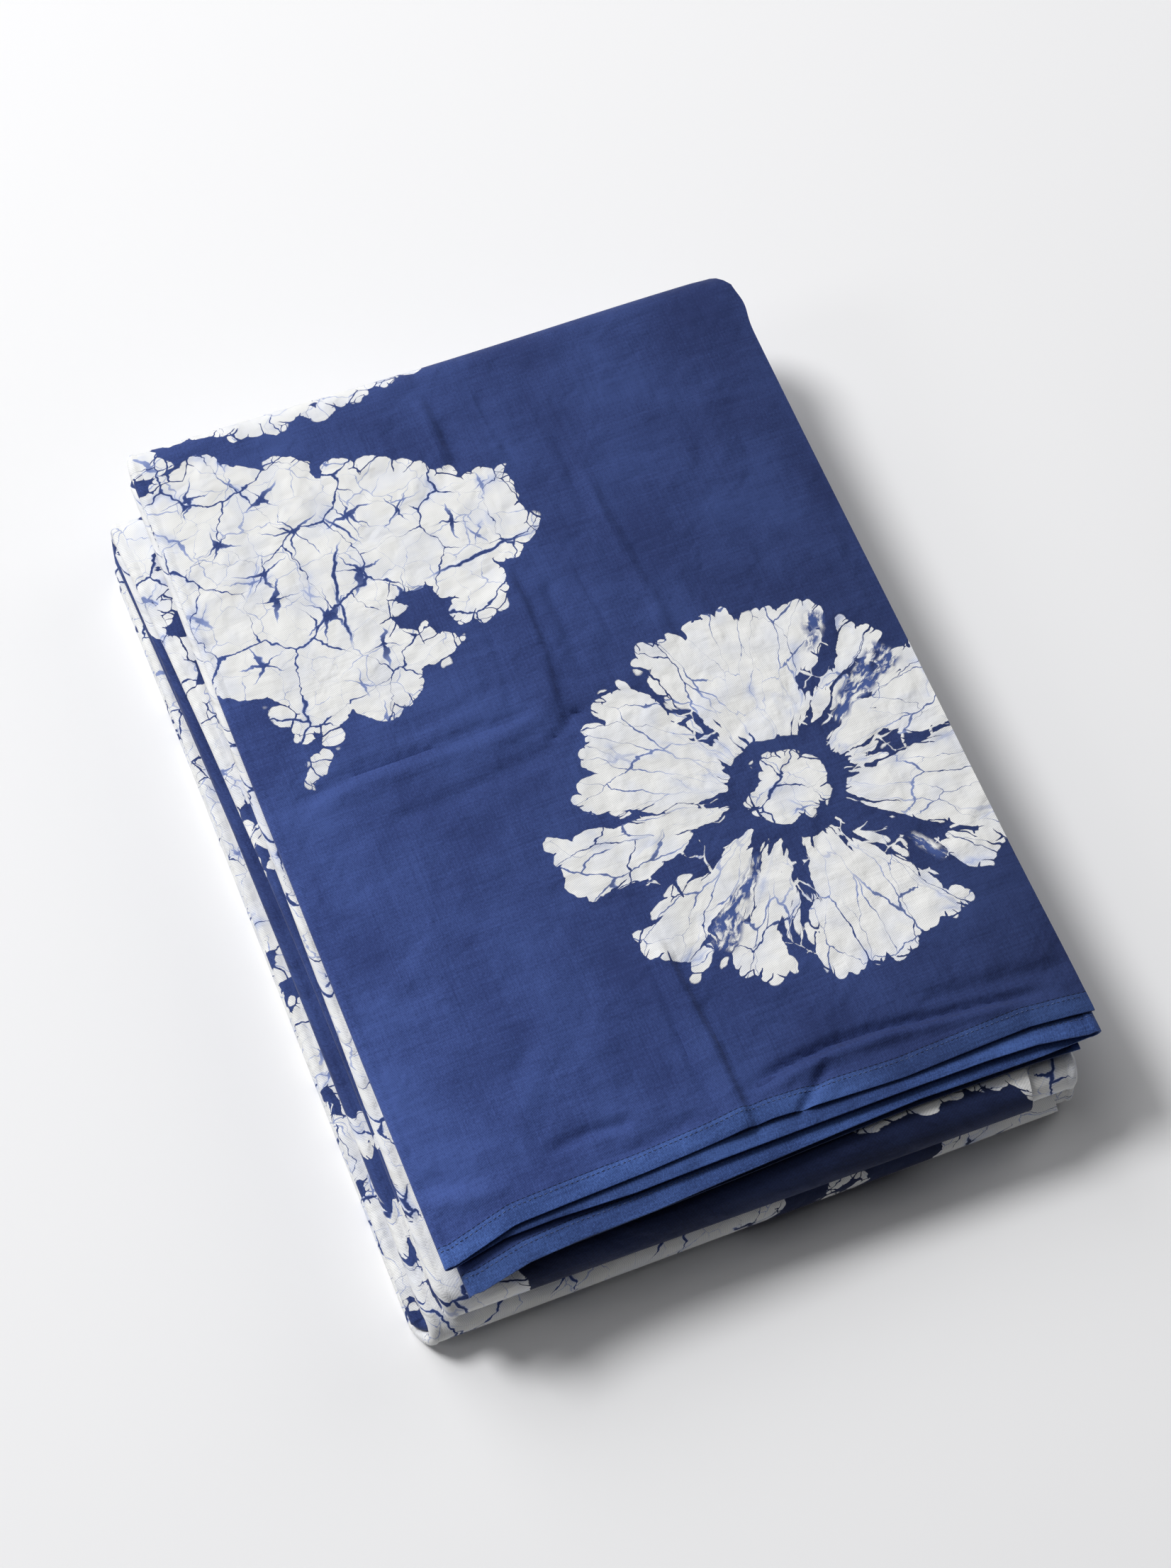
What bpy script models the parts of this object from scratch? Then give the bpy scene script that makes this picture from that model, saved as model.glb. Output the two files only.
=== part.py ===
"""A cotton sari, folded and laid flat.

The cloth is folded twice over. Across its width it is a fan of four layers, with turns at the
left, right and left. Along its length that fan goes back and forth in five passes, from the hemmed
end on top of the stack to the other end at the bottom. The two folds make one closed solid: a sheet
with an even thickness, whose layers lie a little apart.

X runs across the stack, Y along it to the far fold, and Z up. The origin is the middle of the
footprint, on the surface that the cloth lies on.
"""

import math

import bpy

MM = 0.001

# The cloth
CLOTH_THICK = 1.8 * MM
HEM_THICK = 2.2 * MM
HEM_WIDE = 8.0 * MM
HEM_STEP = 0.8 * MM
LAYER_PITCH = 3.0 * MM

# The fan across the width, and the passes along the length
LAYERS = 4
PASSES = 5
PASS_PITCH = LAYERS * LAYER_PITCH
TURN_RADIUS = PASS_PITCH / 2
STACK_TOP = CLOTH_THICK / 2 + (LAYERS * PASSES - 1) * LAYER_PITCH

# The tables below are measured from the middle of the top layer. The footprint's middle lies here.
STACK_CENTRE = (-9.4 * MM, -4.8 * MM)
HALF_WIDE = 140.0 * MM
TOP_LENGTH = 380.0 * MM

# One row for each pass, from the top. Each column is one edge of the fan: its place across the
# stack, in mm, at the pass's far end, its middle and its near end. fold_12 joins layers 1 and 2 at
# the left, fold_34 layers 3 and 4 at the left, fold_23 layers 2 and 3 at the right. The free sides
# of layers 1 and 4 are at the right.
PASS_COLUMNS = ("fold_12", "fold_34", "fold_23", "side_1", "side_4")
LEFT_COLUMNS = ("fold_12", "fold_34")
PASS_ROWS = (
    ((-142.6, -141.0, -138.8), (-140.5, -138.0, -133.5), (142.0, 141.2, 139.8),
     (141.6, 140.8, 140.0), (139.5, 136.5, 130.5)),
    ((-143.0, -143.2, -144.0), (-143.8, -144.0, -145.2), (138.5, 135.0, 129.0),
     (137.5, 134.0, 127.5), (131.0, 121.0, 107.0)),
    ((-158.5, -147.6, -145.4), (-157.0, -146.8, -144.6), (133.5, 129.5, 128.5),
     (131.5, 128.5, 127.0), (126.0, 117.0, 107.0)),
    ((-160.5, -152.4, -150.2), (-159.5, -153.0, -151.4), (134.0, 133.0, 133.0),
     (132.5, 131.5, 131.5), (128.0, 124.0, 121.0)),
    ((-162.0, -158.8, -156.2), (-162.5, -159.4, -157.0), (135.0, 134.5, 133.5),
     (134.0, 133.0, 132.5), (130.0, 129.0, 127.0)),
)

# One row for each fold along the length: the fold's outermost reach along Y at the left and at the
# right of the stack, and how far its rounded corner draws in at the left and at the right, in mm
REACH_ROWS = (
    (204.6, 197.8, 1.2, 6.0),
    (-208.0, -215.0, 1.5, 1.5),
    (188.0, 183.5, 1.2, 1.2),
    (-209.0, -212.5, 2.0, 2.0),
)

# The end at the bottom of the stack: its reach at the left and at the right, and how far each layer
# of it falls short of that, in mm
LAST_END = (176.0, 171.0)
LAST_END_SHORT = (0.0, 2.5, 5.0, 0.0)

# The top packet's far right corner is pushed out sideways, just before the far fold
CORNER_OUT = 1.8 * MM
CORNER_SHARE = 0.97
CORNER_SPREAD = 0.022

# One row for each layer of the hemmed end: where its edge lies along Y, in mm, at these shares of
# the way from the left to the right
HEM_SHARES = (0.0, 0.1, 0.3, 0.5, 0.7, 0.9, 1.0)
HEM_ROWS = (
    (-196.0, -189.5, -188.5, -186.5, -190.0, -189.2, -192.0),
    (-196.0, -191.4, -194.3, -193.5, -194.5, -195.5, -200.0),
    (-207.8, -202.8, -202.5, -200.0, -198.5, -200.5, -200.0),
    (-207.8, -209.0, -208.5, -207.5, -208.4, -208.0, -210.5),
)

# How far the layers spring up at the hemmed end, in mm, at the left and the right of each layer
SPRING_ROWS = (
    (1.7, 2.0),
    (1.6, 1.7),
    (1.2, 0.3),
    (0.0, 0.0),
)
SPRING_LENGTH = 90.0 * MM

# The free side of layer 1 leans down on the layer under it
SIDE_LEAN = 0.7 * MM
SIDE_LEAN_SHARE = 0.04

# The pressed crease that runs along the middle of the top layers: its place across the stack, in
# mm, at these places along it
CREASE_ALONG = (-195.0, -115.0, -60.0, 40.0, 190.0)
CREASE_ACROSS = (-5.0, -11.0, -8.5, -8.5, -8.2)
CREASE_DEPTH = 0.8 * MM
CREASE_HALF = 7.0 * MM
CREASE_SPREAD = 4.2 * MM
CREASE_LAYERS = 3

# The stack's soft unevenness: a low crown, and long waves. One row for each wave: its height in mm,
# its turn across and along in radians for each metre, and its phase
CROWN_HEIGHT = 1.2 * MM
CROWN_REACH = (150.0 * MM, 210.0 * MM)
WAVE_ROWS = (
    (0.35, 31.0, 17.0, 0.7),
    (0.35, 31.0, -17.0, 1.9),
    (0.42, 12.0, 29.0, 0.0),
)
STILL_HEIGHT = 8.0 * MM

# How finely the solid is divided
SHARES = (0.0, 0.12, 0.32, 0.72, 0.9, 1.0)
TURN_STEPS_ACROSS = 4
TURN_STEPS_ALONG = 6
TOP_STEPS = 12
PASS_STEPS = 4
CORNER_SHARES = (0.945, 0.97)


def blend(low, high, share):
    return low + (high - low) * share


def curve(near, middle, far, share):
    """The value at a share of the way along a smooth curve through its two ends and its middle."""
    bend = middle - (near + far) / 2
    return blend(near, far, share) + bend * 4 * share * (1 - share)


def soft_step(value):
    """0 below 0, 1 above 1, and a smooth rise between them."""
    value = min(max(value, 0.0), 1.0)
    return value * value * (3 - 2 * value)


def bell(value):
    return math.exp(-value * value)


def read_line(stops, values, at):
    """The value at one place of a line with straight runs between its stops."""
    for low, high, first, second in zip(stops, stops[1:], values, values[1:]):
        if at <= high:
            return blend(first, second, (at - low) / (high - low))
    return values[-1]


def crease_middle(y):
    return read_line(CREASE_ALONG, CREASE_ACROSS, y / MM) * MM


def pass_middle(index):
    """Height of the middle of one pass's four layers."""
    top_layer = LAYERS * index
    return STACK_TOP - (top_layer + (LAYERS - 1) / 2) * LAYER_PITCH


class Place:
    """One cut through the stack along its length: on a pass, or on the fold after it."""

    def __init__(self, index, share=1.0, angle=None):
        self.index = index
        self.share = share
        self.angle = angle

    def goes_far(self):
        """Passes 1, 3 and 5 run away from the hemmed end, and passes 2 and 4 run back."""
        return self.index % 2 == 0

    def far_share(self):
        """1 at the pass's far end and 0 at its near end."""
        return self.share if self.goes_far() else 1.0 - self.share

    def edge(self, column):
        """Place across the stack of one of the fan's edges."""
        number = PASS_COLUMNS.index(column)
        at_left = column in LEFT_COLUMNS

        def on_pass(index):
            far, middle, near = PASS_ROWS[index][number]
            x = curve(near, middle, far, self.far_share()) * MM
            if index == 0 and not at_left:
                x += CORNER_OUT * bell((self.share - CORNER_SHARE) / CORNER_SPREAD)
            return x

        if self.angle is None:
            return on_pass(self.index)
        x = blend(on_pass(self.index), on_pass(self.index + 1), soft_step(self.angle / math.pi))
        corner_left, corner_right = REACH_ROWS[self.index][2:]
        corner_in = corner_left if at_left else -corner_right
        return x + corner_in * MM * math.sin(self.angle)

    def from_hem(self):
        """Distance from the hemmed end along pass 1."""
        return self.share * TOP_LENGTH

    def spring(self):
        """How far the hemmed end's spring is felt here, 1 at the hem."""
        if self.index or self.angle is not None:
            return 0.0
        return soft_step(1 - self.from_hem() / SPRING_LENGTH)

    def thickness(self):
        on_hem = self.index == 0 and self.from_hem() < HEM_WIDE + HEM_STEP / 2
        return HEM_THICK if on_hem else CLOTH_THICK

    def up_side(self):
        """1 where layer 1 is the pass's top layer, and -1 where it is the lowest."""
        turned = 1.0 if self.angle is None else math.cos(self.angle)
        return turned if self.goes_far() else -turned


def layer_height(layer, share, place):
    """Height of a layer's middle over the middle of its pass. Layer 0 is the hemmed end's top one."""
    level = ((LAYERS - 1) / 2 - layer) * LAYER_PITCH
    left, right = SPRING_ROWS[layer]
    return level + place.spring() * blend(left, right, share) * MM


def left_edge(layer, place):
    return place.edge("fold_12" if layer < 2 else "fold_34")


def right_edge(layer, place):
    return place.edge(("side_1", "fold_23", "fold_23", "side_4")[layer])


def fold_radius(layer, share, place):
    """Radius of the cloth's middle where a layer turns into the next one."""
    return (layer_height(layer, share, place) - layer_height(layer + 1, share, place)) / 2


def across_stops(place):
    """Shares across a layer at which the cloth has a row of points, with the crease's own three."""
    left, right = left_edge(0, place), right_edge(0, place)
    middle = crease_middle((place.far_share() - 0.5) * TOP_LENGTH)
    crease = [(middle + offset - left) / (right - left) for offset in (-CREASE_HALF, 0.0, CREASE_HALF)]
    return sorted(list(SHARES) + crease)


def turn(layer, place):
    """The points of the half turn from one layer to the next, without its two ends."""
    at_left = layer % 2 == 0
    share = 0.0 if at_left else 1.0
    side = -1.0 if at_left else 1.0
    radius = fold_radius(layer, share, place)
    middle = layer_height(layer, share, place) - radius
    edge = left_edge(layer, place) if at_left else right_edge(layer, place)
    centre = edge - side * (radius + place.thickness() / 2)
    points = []
    for step in range(1, TURN_STEPS_ACROSS):
        angle = math.pi * step / TURN_STEPS_ACROSS
        x, height = centre + side * radius * math.sin(angle), middle + radius * math.cos(angle)
        facing_up = -side * math.cos(angle)
        facing_across = -math.sin(angle)
        on_layer = layer if step <= TURN_STEPS_ACROSS / 2 else layer + 1
        points.append((x, height, facing_across, facing_up, on_layer, share))
    return points


def fan(place):
    """The fan fold at one place, from the free side of layer 1 to the free side of layer 4.

    Each point is (x, height, normal across, normal up, layer, share), on the middle of the cloth,
    with the normal on the dyed face's side.
    """
    points = []
    stops = across_stops(place)
    half = place.thickness() / 2
    for layer in range(LAYERS):
        going_left = layer % 2 == 0
        facing_up = 1.0 if going_left else -1.0
        left, right = left_edge(layer, place), right_edge(layer, place)
        left += fold_radius(layer if going_left else layer - 1, 0.0, place) + half
        if 0 < layer < LAYERS - 1:
            right -= fold_radius(layer - 1 if going_left else layer, 1.0, place) + half
        for share in reversed(stops) if going_left else stops:
            height = layer_height(layer, share, place)
            if layer == 0:
                lean = soft_step((share - 1 + SIDE_LEAN_SHARE) / SIDE_LEAN_SHARE)
                height -= SIDE_LEAN * lean * place.up_side()
            points.append((blend(left, right, share), height, 0.0, facing_up, layer, share))
        if layer < LAYERS - 1:
            points += turn(layer, place)
    return points


def reach_at(row, x):
    """How far a fold reaches along Y at one place across the stack."""
    return blend(row[0], row[1], (x + HALF_WIDE) / (2 * HALF_WIDE)) * MM


def fold_line_y(index, x):
    """Where the passes on either side of one fold along the length start to bend."""
    outer = TURN_RADIUS + (LAYERS - 1) / 2 * LAYER_PITCH + CLOTH_THICK / 2
    reach = reach_at(REACH_ROWS[index], x)
    return reach - outer if reach > 0 else reach + outer


def hem_y(layer, share):
    return read_line(HEM_SHARES, HEM_ROWS[layer], share) * MM


def along(place, x, height, layer, share):
    """Y and Z of a point of the fan, once the fan is folded along its length."""
    index = place.index
    way = 1 if place.goes_far() else -1
    if place.angle is not None:
        middle = (pass_middle(index) + pass_middle(index + 1)) / 2
        radius = TURN_RADIUS + way * height
        y = fold_line_y(index, x) + way * radius * math.sin(place.angle)
        return y, middle + radius * math.cos(place.angle)
    if index == 0:
        near, far = hem_y(layer, share), fold_line_y(0, x)
    elif index == PASSES - 1:
        near, far = fold_line_y(index - 1, x), reach_at(LAST_END, x) - LAST_END_SHORT[layer] * MM
    else:
        near, far = sorted((fold_line_y(index - 1, x), fold_line_y(index, x)))
    return blend(near, far, place.far_share()), pass_middle(index) + way * height


def settle(x, y, z):
    """Adds the crown, the waves and the pressed crease, which fade out towards the stack's base."""
    lift = soft_step((z - STILL_HEIGHT) / (STACK_TOP - STILL_HEIGHT))
    crown = CROWN_HEIGHT * (1 - (x / CROWN_REACH[0]) ** 2) * (1 - (y / CROWN_REACH[1]) ** 2)
    waves = sum(h * MM * math.sin(kx * x + ky * y + phase) for h, kx, ky, phase in WAVE_ROWS)
    creased = CREASE_LAYERS * LAYER_PITCH
    near_top = soft_step((z - STACK_TOP + creased) / creased)
    crease = CREASE_DEPTH * near_top * bell((x - crease_middle(y)) / CREASE_SPREAD)
    return x - STACK_CENTRE[0], y - STACK_CENTRE[1], z + lift * (crown + waves) - crease


def places():
    """Every cut along the length, from the hemmed end to the other end."""
    found = []
    for index in range(PASSES):
        steps = TOP_STEPS if index == 0 else PASS_STEPS
        shares = [step / steps for step in range(steps + 1)]
        if index == 0:
            shares += [HEM_WIDE / TOP_LENGTH, (HEM_WIDE + HEM_STEP) / TOP_LENGTH, *CORNER_SHARES]
        found += [Place(index, share=share) for share in sorted(shares)]
        if index < PASSES - 1:
            turns = [math.pi * step / TURN_STEPS_ALONG for step in range(1, TURN_STEPS_ALONG)]
            found += [Place(index, angle=angle) for angle in turns]
    return found


def sheet_points(cuts):
    """The points of the dyed face and of the back, one row for each cut."""
    faces, backs = [], []
    for place in cuts:
        half = place.thickness() / 2
        face, back = [], []
        for x, height, across, up, layer, share in fan(place):
            for row, offset in ((face, half), (back, -half)):
                px = x + across * offset
                row.append(settle(px, *along(place, px, height + up * offset, layer, share)))
        faces.append(face)
        backs.append(back)
    return faces, backs


def sheet_mesh(name):
    """The closed sheet: its dyed face, its back, its two sides and its two ends."""
    faces, backs = sheet_points(places())
    wide, long = len(faces[0]), len(faces)
    points = [point for row in faces + backs for point in row]

    def at(side, cut, stop):
        return side * wide * long + cut * wide + stop

    quads = []
    for cut in range(long - 1):
        for stop in range(wide - 1):
            corners = ((cut, stop), (cut + 1, stop), (cut + 1, stop + 1), (cut, stop + 1))
            quads.append([at(0, *corner) for corner in corners])
            quads.append([at(1, *corner) for corner in reversed(corners)])
        for stop in (0, wide - 1):
            side = [at(0, cut, stop), at(1, cut, stop), at(1, cut + 1, stop), at(0, cut + 1, stop)]
            quads.append(side if stop == 0 else side[::-1])
    for stop in range(wide - 1):
        for cut in (0, long - 1):
            end = [at(0, cut, stop), at(0, cut, stop + 1), at(1, cut, stop + 1), at(1, cut, stop)]
            quads.append(end if cut == 0 else end[::-1])
    mesh = bpy.data.meshes.new(name)
    mesh.from_pydata(points, [], quads)
    mesh.validate()
    return mesh


def indigo_cotton():
    material = bpy.data.materials.new("indigo_cotton")
    material.use_nodes = True
    shader = material.node_tree.nodes["Principled BSDF"]
    shader.inputs["Base Color"].default_value = (0.035, 0.063, 0.22, 1.0)
    shader.inputs["Roughness"].default_value = 0.85
    shader.inputs["Metallic"].default_value = 0.0
    return material


def main():
    for old in list(bpy.data.objects):
        bpy.data.objects.remove(old, do_unlink=True)
    mesh = sheet_mesh("sari")
    mesh.materials.append(indigo_cotton())
    sari = bpy.data.objects.new("sari", mesh)
    bpy.context.scene.collection.objects.link(sari)
    mesh.shade_smooth()
    mesh.set_sharp_from_angle(angle=math.radians(50))


main()
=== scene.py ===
"""A cotton sari, dyed indigo round white resist flowers, folded and laid flat.

The cloth is one sheet on the folds of its CAD solid. Across its width it is a fan of four layers,
with turns at the left, right and left. Along its length the fan goes back and forth in five
passes, from the hemmed end on top to the other end at the bottom. The sheet carries a flat pattern
of the cloth in its UV map, in metres, so the dyed flowers run on round every fold.
"""

import math
from functools import cache, partialmethod
from types import SimpleNamespace

import bpy
import numpy as np
from mathutils import Matrix, Vector


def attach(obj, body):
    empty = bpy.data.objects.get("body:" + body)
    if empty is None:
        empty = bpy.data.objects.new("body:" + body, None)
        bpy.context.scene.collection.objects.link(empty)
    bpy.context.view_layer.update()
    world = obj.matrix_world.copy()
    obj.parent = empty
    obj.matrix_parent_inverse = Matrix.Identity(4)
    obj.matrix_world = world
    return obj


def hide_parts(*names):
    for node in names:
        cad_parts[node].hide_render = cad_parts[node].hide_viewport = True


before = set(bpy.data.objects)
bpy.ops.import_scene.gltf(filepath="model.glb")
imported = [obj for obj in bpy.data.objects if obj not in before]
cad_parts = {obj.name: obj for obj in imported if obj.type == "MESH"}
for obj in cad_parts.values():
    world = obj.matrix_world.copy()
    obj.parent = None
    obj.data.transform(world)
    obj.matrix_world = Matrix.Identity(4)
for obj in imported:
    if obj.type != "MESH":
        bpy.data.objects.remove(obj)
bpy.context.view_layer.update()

MM = 0.001

# The cloth
CLOTH_THICK = 1.7 * MM
HEM_THICK = 1.5 * MM
END_THICK = 1.15 * MM
END_TAPER = 16.0 * MM
HEM_WIDE = 8.0 * MM
HEM_STEP = 0.9 * MM
LAYER_PITCH = 3.0 * MM
NOSE_FULL = 0.5 * MM
NOSE_CLEAR = 1.2 * MM
HEM_ROUND = 1.5 * MM
HEM_ROUND_SHARE = 0.35

# The fan across the width, and the passes along the length
LAYERS = 4
PASSES = 5
PASS_PITCH = LAYERS * LAYER_PITCH
TURN_RADIUS = PASS_PITCH / 2
STACK_TOP = 0.9 * MM + (LAYERS * PASSES - 1) * LAYER_PITCH

# The tables below are measured from the middle of the top layer. The footprint's middle lies here.
STACK_CENTRE = (-9.4 * MM, -4.8 * MM)
HALF_WIDE = 140.0 * MM
TOP_LENGTH = 380.0 * MM

# One row for each pass, from the top. Each column is one edge of the fan: its place across the
# stack, in mm, at the pass's far end, its middle and its near end.
PASS_COLUMNS = ("fold_12", "fold_34", "fold_23", "side_1", "side_4")
LEFT_COLUMNS = ("fold_12", "fold_34")
PASS_ROWS = (
    ((-142.6, -141.0, -138.8), (-140.5, -138.0, -133.5), (142.0, 141.2, 139.8),
     (141.6, 140.8, 140.0), (139.5, 136.5, 130.5)),
    ((-143.0, -143.2, -144.0), (-143.8, -144.0, -145.2), (138.5, 135.0, 129.0),
     (137.5, 134.0, 127.5), (131.0, 121.0, 107.0)),
    ((-158.5, -147.6, -145.4), (-157.0, -146.8, -144.6), (133.5, 129.5, 128.5),
     (131.5, 128.5, 127.0), (126.0, 117.0, 107.0)),
    ((-160.5, -152.4, -150.2), (-159.5, -153.0, -151.4), (134.0, 133.0, 133.0),
     (132.5, 131.5, 131.5), (128.0, 124.0, 121.0)),
    ((-162.0, -158.8, -156.2), (-162.5, -159.4, -157.0), (135.0, 134.5, 133.5),
     (134.0, 133.0, 132.5), (130.0, 129.0, 127.0)),
)

# One row for each fold along the length: its reach along Y at the left and at the right, and how
# far its rounded corner draws in at the left and at the right, in mm
REACH_ROWS = (
    (204.6, 197.8, 1.2, 6.0),
    (-208.0, -215.0, 1.5, 1.5),
    (188.0, 183.5, 1.2, 1.2),
    (-209.0, -212.5, 2.0, 2.0),
)
LAST_END = (176.0, 171.0)
LAST_END_SHORT = (0.0, 2.5, 5.0, 0.0)
CORNER_OUT = 1.8 * MM
CORNER_SHARE = 0.97
CORNER_SPREAD = 0.022

# One row for each layer of the hemmed end: where its edge lies along Y, in mm, at these shares
HEM_SHARES = (0.0, 0.1, 0.3, 0.5, 0.7, 0.9, 1.0)
HEM_ROWS = (
    (-196.0, -189.5, -188.5, -186.5, -190.0, -189.2, -192.0),
    (-196.0, -191.4, -194.3, -193.5, -194.5, -195.5, -200.0),
    (-207.8, -202.8, -202.5, -200.0, -198.5, -200.5, -200.0),
    (-203.0, -202.0, -201.5, -200.5, -199.5, -200.5, -202.0),
)
SPRING_ROWS = ((1.7, 2.0), (2.3, 2.4), (2.1, 1.3), (0.6, 0.2))
SPRING_LENGTH = 90.0 * MM
SIDE_LEAN = 0.7 * MM
SIDE_LEAN_SHARE = 0.04

# How each layer's hemmed edge waves up and down: its height in mm, the number of waves, their start
RIPPLE_ROWS = ((0.35, 2.6, 0.2), (0.40, 2.9, 0.9), (0.45, 2.4, 1.9), (0.30, 3.9, 1.0))
RIPPLE_LENGTH = 40.0 * MM

# The pressed crease along the middle, and the stack's soft unevenness
CREASE_ALONG = (-195.0, -115.0, -60.0, 40.0, 190.0)
CREASE_ACROSS = (-5.0, -11.0, -8.5, -8.5, -8.2)
CREASE_DEPTH = 0.45 * MM
CREASE_SPREAD = 4.2 * MM
CREASE_LAYERS = 3
CROWN_HEIGHT = 1.2 * MM
CROWN_REACH = (150.0 * MM, 210.0 * MM)

# Each wave of the stack: its height in mm, its turns for each metre along X and Y, and its start
WAVE_ROWS = ((0.35, 31.0, 17.0, 0.7), (0.35, 31.0, -17.0, 1.9), (0.42, 12.0, 29.0, 0.0))
STILL_HEIGHT = 8.0 * MM

# The creases and ridges of the top layer: each one's depth, its width and its points, in mm. A trough
# is a soft line pressed in, or a ridge where its depth is below 0. A step drops on the line's right
# side, and comes back over its width.
STEP_SHARP_MM = 1.1
CREASE_END_SHARE = 0.16
TROUGH_ROWS = (
    (2.035, 2.6, ((-136, 11), (-111, 14.8), (-97, 16.8), (-62, 15.9), (-30, 15.5), (-9, 20.5))),
    (-1.48, 3.6, ((-118, 8), (-97, 10.5), (-62, 9.5), (-30, 10), (-10, 14))),
    (1.665, 4.0, ((-98, -10.3), (-69, -9.3), (-46, -6.4), (-32, -4.9), (-14, -3.7))),
    (1.295, 3.2, ((-80, 27.7), (-59, 27.1), (-46, 29.1), (-26, 34.7))),
    (1.184, 1.8, ((-24.3, 63), (-25.2, 34.5), (-29.3, 18))),
    (1.665, 3.6, ((7.5, 76), (6.8, 50), (6.2, 26))),
    (3.33, 1.7, ((-12, 5.8), (-5.1, 8.5), (1, 7.9))),
    (1.85, 1.6, ((-20, 0), (-12, 3), (-4, 3.6))),
    (1.295, 1.7, ((-127, -90.2), (-114, -88.1), (-99, -84.6), (-78, -83.2))),
    (-1.85, 3.0, ((-12.2, 182), (-11.4, 161), (-12.8, 142))),
    (1.11, 4.0, ((-5, 160), (-5, 140))),
    (0.666, 1.4, ((13.3, 178), (14.8, 154), (17.3, 128))),
    (1.406, 3.2, ((38.7, 145), (37.9, 114), (38.8, 93))),
    (-1.665, 3.2, ((41, 125), (42.3, 92), (44.1, 67), (46.6, 47), (46.6, 26))),
    (0.925, 1.4, ((20.8, 76), (23.5, 56), (24, 35))),
    (-0.925, 5.0, ((110, 138), (104.5, 113), (102.4, 95))),
    (1.11, 6.0, ((103, 130), (98, 113), (96, 95))),
    (1.665, 1.8, ((-17, -96), (-17.7, -123), (-18.8, -145), (-17, -176))),
    (1.11, 8.5, ((2, -84), (2.5, -110), (3.5, -150), (4, -186))),
    (1.11, 1.6, ((-20, -150.5), (-8, -149.3))),
    (3.145, 2.4, ((-6, -171.2), (5, -169.8), (20, -167.6), (37, -166.5), (53, -167), (76, -170.8),
                 (107, -174.7), (132, -178.6))),
    (-2.22, 3.0, ((-2, -176), (20, -172.5), (37, -171), (60, -172), (90, -176), (120, -180))),
    (1.85, 4.0, ((74, -163), (102, -165.5), (141, -170.5))),
    (2.775, 2.2, ((12, -189), (17.5, -185), (25, -179), (33, -172.5))),
    (-1.295, 5.0, ((-60, -120), (-72, -130), (-79, -137), (-90, -151), (-95, -157))),
    (1.295, 4.5, ((-72, -118), (-80, -126), (-86, -136))),
    (-0.592, 2.0, ((-89.8, -112), (-90.9, -148))),
    (2.035, 2.6, ((-86, -169.5), (-78, -166), (-67, -165.3), (-47, -167.5))),
    (1.184, 3.0, ((-68, -178.5), (-51, -178.7), (-20, -174))),
    (1.295, 3.0, ((-141, -163), (-129, -162.8), (-118, -168))),
    (-1.48, 4.0, ((-138, -172), (-122, -173), (-104, -176))),
)
STEP_ROWS = (
    (-2.664, 11.0, ((-5.5, 88), (-4.5, 60.6), (-5.4, 39), (-8, 22), (-9, 8))),
    (1.11, 12.0, ((22, 18), (5, 21.4), (-8, 22.7))),
    (-3.7, 11.0, ((-10, -92), (-9.4, -101), (-8.4, -120), (-6.5, -147), (-5.9, -172), (-6, -196))),
)

# How finely the sheet is divided. Each row is a start, an end and a step, in mm.
ACROSS_ROWS = (
    (-140.0, -130.0, 2.0), (-130.0, -60.0, 3.3), (-60.0, 50.0, 1.65), (50.0, 128.0, 3.2),
    (128.0, 140.0, 2.0),
)
ALONG_ROWS = (
    (0.0, 8.0, 1.33), (8.9, 32.0, 1.35), (32.0, 150.0, 3.1), (150.0, 290.0, 2.5), (290.0, 350.0, 3.4),
    (350.0, 380.0, 1.7),
)
UNDER_SHARES = (0.0, 0.03, 0.08, 0.16, 0.28, 0.42, 0.58, 0.72, 0.84, 0.92, 0.97, 1.0)
TURN_STEPS_ACROSS = 8
TURN_STEPS_ALONG = 9
PASS_SHARES = (0.0, 0.05, 0.13, 0.25, 0.4, 0.55, 0.7, 0.83, 0.93, 1.0)
SHARP_ANGLE = math.radians(55)


def blend(low, high, share):
    return low + (high - low) * share


def curve(near, middle, far, share):
    """The value at a share of the way along a smooth curve through its two ends and its middle."""
    bend = middle - (near + far) / 2
    return blend(near, far, share) + bend * 4 * share * (1 - share)


def soft_step(value):
    """0 below 0, 1 above 1, and a smooth rise between them."""
    value = min(max(value, 0.0), 1.0)
    return value * value * (3 - 2 * value)


def soft_steps(values):
    values = np.clip(values, 0.0, 1.0)
    return values * values * (3 - 2 * values)


def bell(value):
    return math.exp(-value * value)


def pass_middle(index):
    """Height of the middle of one pass's four layers."""
    return STACK_TOP - (LAYERS * index + (LAYERS - 1) / 2) * LAYER_PITCH


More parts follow.
